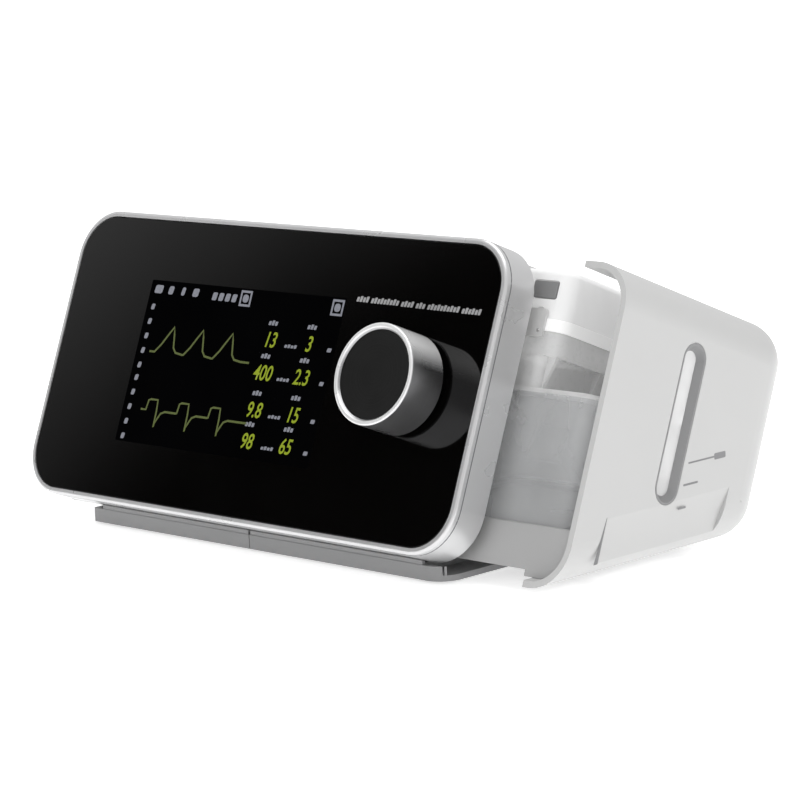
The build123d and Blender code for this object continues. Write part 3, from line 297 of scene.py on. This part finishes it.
def circuit_board():
    """A green board: darker copper runs under the lacquer and small bright pads."""
    f = Finish("circuit_board")
    runs = f.add("ShaderNodeTexBrick")
    runs.inputs["Scale"].default_value = 170
    f.join(f.mapped((1, 1, 1), (0.3, 0, 0)), runs.inputs["Vector"])
    pads = f.add("ShaderNodeTexVoronoi")
    pads.inputs["Scale"].default_value = 420
    f.join(f.place, pads.inputs["Vector"])
    lacquer = f.blend(runs.outputs["Fac"], (0.012, 0.10, 0.045), (0.02, 0.17, 0.07))
    pad = f.spread(pads.outputs["Distance"], 1, 0, 0.10, 0.16)
    f.put(Base_Color=f.blend(pad, lacquer, (0.55, 0.50, 0.36)))
    f.put(Roughness=0.35, Normal=f.bump(runs.outputs["Fac"], 0.00005))
    return f


def open_foam():
    """Open foam: rounded cells, with painted shade darkening the pores between them."""
    f = Finish("filter_foam")
    cells = f.add("ShaderNodeTexVoronoi")
    cells.inputs["Scale"].default_value = 900
    f.join(f.place, cells.inputs["Vector"])
    # Painted shade: the colour darkens from each cell's middle towards the pores round it.
    depth = f.spread(cells.outputs["Distance"], 0, 1, 0.1, 0.7)
    f.put(Base_Color=f.blend(depth, (0.42, 0.46, 0.52), (0.10, 0.11, 0.13)))
    f.put(Roughness=0.95, Normal=f.bump(cells.outputs["Distance"], 0.0004))
    return f


looks["glass"] = black_glass()
# Painted light: the clear mouldings and the pale seal are given a faint even glow, though they are no lamps.
for name, glow in (("lid", 0.13), ("seal", 0.20), ("clear", 0.02)):
    looks[name].put(Emission_Color=(1, 1, 1, 1), Emission_Strength=glow)
looks["field"].put(Specular_IOR_Level=0.0)
looks["board"] = circuit_board()
looks["foam"] = open_foam()

wears = {
    "white": "mid_frame housing_shell bottom_plate bay_liner filter_door lid_latch",
    "cover": "side_cover",
    "silver": "front_bezel",
    "plinth": "main_base dock_base slot_window lid_button",
    "black": "encoder_body dc_inlet switch_body power_rocker card_socket",
    "inner": "blower_base blower_cover muffler_box flow_sensor",
    "light_inner": "impeller",
    "rubber": "rubber_feet",
    "grey_rubber": "port_flap",
    "silicone": "port_seals blower_mounts blower_duct patient_duct",
    "seal": "lid_seal",
    "steel": "encoder_nut encoder_plunger encoder_shaft screws motor_shaft motor_bearings heater_springs "
             "cover_screws tank_base_plate comm_port",
    "pressed": "display_bracket blower_bracket",
    "heater": "heater_plate",
    "film": "heater_element",
    "can": "motor_body",
    "card": "memory_card",
    "outlet": "patient_outlet",
    "cone": "speaker",
    "tray": "drawer_tray",
    "clear": "tank_basin",
    "lens": "slot_lens",
    "lid": "tank_lid",
    "frosted": "tank_chamber",
    "knob_side": "knob_hub",
    "knob_rim": "knob_ring",
    "knob_inset": "knob_cap",
    "glass": "front_glass display_module",
    "board": "control_board main_board",
    "foam": "filter_pad",
}
for look, names in wears.items():
    for name in names.split():
        mesh = nodes[name].data
        mesh.materials.clear()
        mesh.materials.append(looks[look].made)

# ---------------------------------------------------------------- drawn marks


def new_piece(shape, name, look):
    """A finished piece from a bmesh."""
    bmesh.ops.recalc_face_normals(shape, faces=shape.faces)
    mesh = bpy.data.meshes.new(name)
    shape.to_mesh(mesh)
    shape.free()
    mesh.materials.append(looks[look].made)
    made = bpy.data.objects.new(name, mesh)
    scene.collection.objects.link(made)
    return made


PLATE = 0.03     # how thick the drawn marks are, in millimetres


class Drawing:
    """Thin raised marks on a plane, in millimetres, gathered into one piece."""

    def __init__(self, place, across, up, out, lift):
        self.bm = bmesh.new()
        self.place, self.across, self.up, self.out, self.lift = place, across, up, out, lift

    def at(self, x, y, z):
        return self.place + (self.across * x + self.up * y + self.out * (self.lift + z)) * MM

    def shape(self, points):
        """A closed outline, as a thin plate with a face on top and sides down to the surface."""
        top = [self.bm.verts.new(self.at(x, y, PLATE)) for x, y in points]
        low = [self.bm.verts.new(self.at(x, y, 0)) for x, y in points]
        self.bm.faces.new(top)
        for k in range(len(points)):
            j = (k + 1) % len(points)
            self.bm.faces.new((low[k], low[j], top[j], top[k]))

    def bar(self, x, y, width, height, radius, slant=0.0):
        """A bar centred at x, y with rounded corners, leaning by slant."""
        outline = []
        for cx, cy, start in ((1, 1, 0), (-1, 1, 90), (-1, -1, 180), (1, -1, 270)):
            for k in range(4):
                a = math.radians(start + 30 * k)
                px = cx * (width / 2 - radius) + radius * math.cos(a)
                py = cy * (height / 2 - radius) + radius * math.sin(a)
                outline.append((x + px + slant * py, y + py))
        self.shape(outline)

    def word(self, x, y, letters, height, pitch=1.75):
        """A few short strokes in a row stand for a word, centred at x, y."""
        shorter, share, radius, slant = 0.82, 0.78, 0.3, 0.2
        for k in range(letters):
            tall = height * (1.0 if k % 2 else shorter)
            middle = x + (k - (letters - 1) / 2) * pitch
            self.bar(middle, y - (height - tall) / 2, pitch * share, tall, radius, slant)

    def frame(self, x, y, width, height, line):
        """The outline of a rectangle centred at x, y."""
        sides = ((0, 1, width, line), (0, -1, width, line), (1, 0, line, height), (-1, 0, line, height))
        for dx, dy, w, h in sides:
            self.bar(x + dx * (width - line) / 2, y + dy * (height - line) / 2, w, h, line * 0.2)

    def line(self, points, thick):
        """A stroke of even width through the points."""
        edges = []
        for k, (x, y) in enumerate(points):
            before = Vector(points[max(k - 1, 0)])
            after = Vector(points[min(k + 1, len(points) - 1)])
            way = (after - before).normalized()
            side = Vector((-way.y, way.x)) * thick / 2
            edges.append(((x + side.x, y + side.y), (x - side.x, y - side.y)))
        for (a, b), (c, d) in zip(edges, edges[1:]):
            self.shape((a, b, d, c))

    def number(self, words, x, y, height):
        """Generic digits, centred at x, y."""
        curve = bpy.data.curves.new("digits", "FONT")
        curve.body = words
        curve.size = height * DIGIT_SIZE
        curve.align_x, curve.align_y = "CENTER", "CENTER"
        curve.shear = DIGIT_SLANT
        curve.offset = height * DIGIT_BOLD
        holder = bpy.data.objects.new("digits", curve)
        scene.collection.objects.link(holder)
        bpy.context.view_layer.update()
        mesh = bpy.data.meshes.new_from_object(holder)
        bpy.data.objects.remove(holder)
        start = len(self.bm.verts)
        self.bm.from_mesh(mesh)
        self.bm.verts.ensure_lookup_table()
        for v in self.bm.verts[start:]:
            v.co = self.at(x + v.co.x * DIGIT_WIDTH, y + v.co.y, PLATE)
        bpy.data.meshes.remove(mesh)

    def done(self, name, look, body):
        made = new_piece(self.bm, name, look)
        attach(made, body)


WIDE, TALL = SCREEN_RIGHT - SCREEN_LEFT, SCREEN_TOP - SCREEN_UNDER
GLASS_LIFT = -0.15     # the glass lies this far in from the panel's plane
# The display's digits are narrower, slanted and a little bolder than the plain typeface.
DIGIT_WIDTH, DIGIT_SLANT, DIGIT_BOLD = 0.80, 0.2, 0.018
DIGIT_SIZE = 1.36      # the typeface's size for digits one unit high


def screen_drawing(lift=GLASS_LIFT + PLATE):
    """A drawing with its corner at the lower left of the lit screen."""
    return Drawing(on_panel(SCREEN_LEFT, SCREEN_UNDER), RIGHT, UP_GLASS, OUTWARD, lift)


def readouts():
    """Four rows of two readings, with short strokes for the name above each and the unit beside it."""
    digits = screen_drawing()
    names = screen_drawing()
    rows = ((0.292, ("13", "3")), (0.49, ("400", "2.3")), (0.712, ("9.8", "15")), (0.898, ("98", "65")))
    size, above = 6.3, 7.0
    for t, (first, second) in rows:
        y = TALL * (1 - t)
        digits.number(first, WIDE * 0.675, y, size)
        digits.number(second, WIDE * 0.868, y, size)
        names.word(WIDE * 0.672, y + above, 3, 2.0)
        names.word(WIDE * 0.866, y + above, 3, 2.0)
        names.word(WIDE * 0.782, y - 1.4, 4, 1.4)
        names.bar(WIDE * 0.972, y - 1.2, 2.2, 1.6, 0.4, 0.2)
    digits.done("screen_digits", "digits", "main")
    return names


# Each breath of the two traces, as (share of the breath, height).
PRESSURE_BREATH = ((0.0, 0.0), (0.18, 0.30), (0.34, 0.66), (0.50, 1.0), (0.55, 0.72), (0.62, 0.22),
                   (0.72, 0.05), (0.95, 0.0))
FLOW_BREATH = ((0.0, 0.0), (0.03, 0.90), (0.10, 1.0), (0.32, 1.0), (0.35, 0.0), (0.36, -1.5), (0.42, -0.75),
               (0.50, -0.2), (0.62, 0.0), (0.97, 0.0))


def breathing(drawing, base, rise, period, start, breath):
    """One trace of a few breaths, with a level stretch before and after."""
    breaths, before, after, stroke = 3, 3.0, 4.0, 0.85
    points = [(start - before, base)]
    for k in range(breaths):
        for share, level in breath:
            points.append((start + (k + share) * period, base + level * rise))
    points.append((start + breaths * period + after, base))
    drawing.line(points, stroke)


def traces():
    """The pressure trace, and the flow trace under it."""
    both = screen_drawing()
    breathing(both, TALL * 0.562, 10.8, 17.2, WIDE * 0.098, PRESSURE_BREATH)
    breathing(both, TALL * 0.208, 4.4, 18.4, WIDE * 0.125, FLOW_BREATH)
    both.done("screen_traces", "trace", "main")


def screen_field():
    """The lit area itself, a little blacker and duller than the glass round it."""
    field = screen_drawing(GLASS_LIFT)
    field.bar(WIDE / 2, TALL / 2, WIDE, TALL, 0.6)
    field.done("screen_field", "field", "main")


def screen_marks():
    """The white marks: names and units, the two scales on the left, and the signs along the top."""
    names = readouts()
    for k in range(5):
        for first in (0.835, 0.395):
            names.bar(WIDE * 0.035, TALL * (first - 0.0905 * k), 2.0, 2.4, 0.6, 0.15)
    for k, width in enumerate((4.6, 2.8, 2.0, 3.4)):
        names.bar(WIDE * (0.045 + 0.066 * k), TALL * 0.945, width, 3.4, 0.8, 0.15)
    for k in range(4):
        names.bar(WIDE * (0.345 + 0.034 * k), TALL * 0.935, 2.6, 3.2, 0.6, 0.15)
    for s in (0.505, 0.965):
        names.frame(WIDE * s, TALL * 0.94, 6.4, 6.4, 0.9)
        names.bar(WIDE * s, TALL * 0.94, 3.2, 3.2, 1.2)
    names.done("screen_marks", "marks", "main")


def legend():
    """A row of short strokes stands for the printed words above the knob."""
    strip = Drawing(on_panel(0, 0), RIGHT, UP_GLASS, OUTWARD, GLASS_LIFT)
    start, height, slope = 46.2, 89.8, 0.012
    stroke, pitch, gap = 2.3, 1.64, 1.1
    place = start
    for letters in (4, 9, 4, 3, 10, 6):
        strip.word(place + letters * pitch / 2, height - (place - start) * slope, letters, stroke, pitch)
        place += letters * pitch + gap
    strip.done("panel_legend", "light_ink", "main")


def bezel_seam_shade():
    """The fine parting line behind the bezel's bright front rim, drawn as a dark ring that is painted shade of
    its groove.
    """
    half, low, high, radius = 120.03, -2.43, 116.73, 19.4     # the bezel's outline on the panel
    front, rear, depth = -2.6, -3.1, 0.3                      # the line's two edges and how deep it goes
    steps = 12
    shape = bmesh.new()
    loop = []
    upper, lower = high - radius, low + radius
    for cu, cv, start in ((1, upper, 0), (-1, upper, 90), (-1, lower, 180), (1, lower, 270)):
        for k in range(steps + 1):
            a = math.radians(start + 90 / steps * k)
            u = cu * (half - radius) + radius * math.cos(a)
            v = cv + radius * math.sin(a)
            inner = (u - depth * math.cos(a), v - depth * math.sin(a))
            loop.append([shape.verts.new(on_panel(*spot)) for spot in
                         ((*inner, front), (u, v, front), (u, v, rear), (*inner, rear))])
    for k, ring in enumerate(loop):
        after = loop[(k + 1) % len(loop)]
        for j in range(4):
            shape.faces.new((ring[j], ring[(j + 1) % 4], after[(j + 1) % 4], after[j]))
    # Painted shade: the ring is dark to stand for the shade in the parting line's groove.
    made = new_piece(shape, "bezel_seam_shade", "seam_shade")
    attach(made, "main")


def plinth_lips():
    """Soft lips on the front of the two plinths close the gap under the bezel; near and far trim their ends."""
    section = ((-70.1, 6.65), (-70.1, 8.15), (-69.85, 8.4), (-68.85, 7.95), (-68.6, 7.7), (-68.6, 6.65))
    for base, near, far in (("main_base", 6.0, 0.4), ("dock_base", 0.4, 11.0)):
        low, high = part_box(base)
        shape = bmesh.new()
        ends = [[shape.verts.new((x, y * MM, z * MM)) for y, z in section]
                for x in (low.x + near * MM, high.x - far * MM)]
        for k in range(len(section)):
            j = (k + 1) % len(section)
            shape.faces.new((ends[0][k], ends[0][j], ends[1][j], ends[1][k]))
        for end in ends:
            shape.faces.new(end)
        made = new_piece(shape, base + "_lip", "plinth")
        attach(made, "main")


def cover_marks():
    """Level lines beside the viewing slot, the highest with a plain tab, and a painted shade strip at one end
    of the finger grip.
    """
    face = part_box("side_cover")[1].x
    marks = Drawing(Vector((face, 0, 0)), Vector((0, 1, 0)), Vector((0, 0, 1)), Vector((1, 0, 0)), 0.0)
    line, tab = (13.6, 38.8, 15.0, 0.65, 0.2), (24.4, 38.8, 6.6, 2.4, 0.5)
    lower, lowest = (7.0, 31.0, 8.4, 0.8, 0.3), (1.6, 22.8, 4.6, 0.8, 0.3)
    for mark in (line, tab, lower, lowest):
        marks.bar(*mark)
    # Painted shade: a dark tapered strip on the face stands for the shade at the end of the finger-grip recess.
    painted_grip_shade = ((-39.8, 26.6), (-40.3, 26.2), (-48.2, 10.6), (-46.0, 10.6))
    marks.shape(painted_grip_shade)
    marks.done("cover_marks", "ink_and_painted_shade", "drawer")


screen_field()
screen_marks()
traces()
legend()
bezel_seam_shade()
plinth_lips()
cover_marks()

# ---------------------------------------------------------------- camera, light and floor

azimuth, elevation, roll = (math.radians(a) for a in (CAMERA_AZIMUTH, CAMERA_ELEVATION, CAMERA_ROLL))
back = Vector((math.sin(azimuth) * math.cos(elevation), -math.cos(azimuth) * math.cos(elevation),
               math.sin(elevation)))
level = Vector((math.cos(azimuth), math.sin(azimuth), 0))
above = back.cross(level)
side = level * math.cos(roll) + above * math.sin(roll)
top = above * math.cos(roll) - level * math.sin(roll)
camera = bpy.data.objects.new("camera", bpy.data.cameras.new("camera"))
camera.matrix_world = Matrix.Translation(CAMERA_TARGET + back * CAMERA_DISTANCE) @ Matrix(
    ((side.x, top.x, back.x), (side.y, top.y, back.y), (side.z, top.z, back.z))).to_4x4()
camera.data.lens = CAMERA_LENS
camera.data.sensor_width = 36
camera.data.clip_start, camera.data.clip_end = 0.05, 50
scene.collection.objects.link(camera)
scene.camera = camera


def floor():
    """A plain pale floor that runs past the edges of every view."""
    mesh = bpy.data.meshes.new("floor")
    shape = bmesh.new()
    bmesh.ops.create_grid(shape, x_segments=4, y_segments=4, size=30.0)
    shape.to_mesh(mesh)
    shape.free()
    paper = moulded("floor_paper", (0.92, 0.92, 0.92), 0.9, 0.004, 300, 0.00001)
    paper.put(Emission_Color=(1, 1, 1, 1), Emission_Strength=0.55, Specular_IOR_Level=0.1)
    mesh.materials.append(paper.made)
    made = bpy.data.objects.new("floor", mesh)
    scene.collection.objects.link(made)


def softbox(name, place, aim, size, power):
    """A soft rectangular studio light, pointed at aim."""
    light = bpy.data.lights.new(name, "AREA")
    light.shape = "RECTANGLE"
    light.size, light.size_y = size
    light.energy = power
    made = bpy.data.objects.new(name, light)
    made.location = place
    made.rotation_mode = "QUATERNION"
    made.rotation_quaternion = (Vector(aim) - Vector(place)).to_track_quat("-Z", "Y")
    scene.collection.objects.link(made)


# The dark side of the room lies where the glass looks, and the light there grows evenly away from it.
DARK_SIDE = (-0.561, -0.796, 0.2246)
ROOM = 0.66


def surroundings():
    """A bright white room with one dark side, which the glass reflects towards the photograph's camera."""
    world = bpy.data.worlds.new("room")
    world.use_nodes = True
    tree = world.node_tree
    place = tree.nodes.new("ShaderNodeTexCoord")
    dark = tree.nodes.new("ShaderNodeVectorMath")
    dark.operation = "DOT_PRODUCT"
    dark.inputs[1].default_value = DARK_SIDE
    tree.links.new(place.outputs["Generated"], dark.inputs[0])
    ramp = tree.nodes.new("ShaderNodeMapRange")
    ramp.interpolation_type = "SMOOTHSTEP"
    for key, value in (("From Min", 0.962), ("From Max", 0.925), ("To Min", 0.0), ("To Max", ROOM)):
        ramp.inputs[key].default_value = value
    tree.links.new(dark.outputs["Value"], ramp.inputs["Value"])
    tree.links.new(ramp.outputs["Result"], tree.nodes["Background"].inputs["Strength"])
    tree.nodes["Background"].inputs["Color"].default_value = (1, 1, 1, 1)
    scene.world = world


floor()
surroundings()
softbox("overhead", place=(0.0, 0.2, 1.6), aim=(0, 0, 0), size=(1.8, 1.8), power=16)
scene.view_settings.view_transform = "Standard"
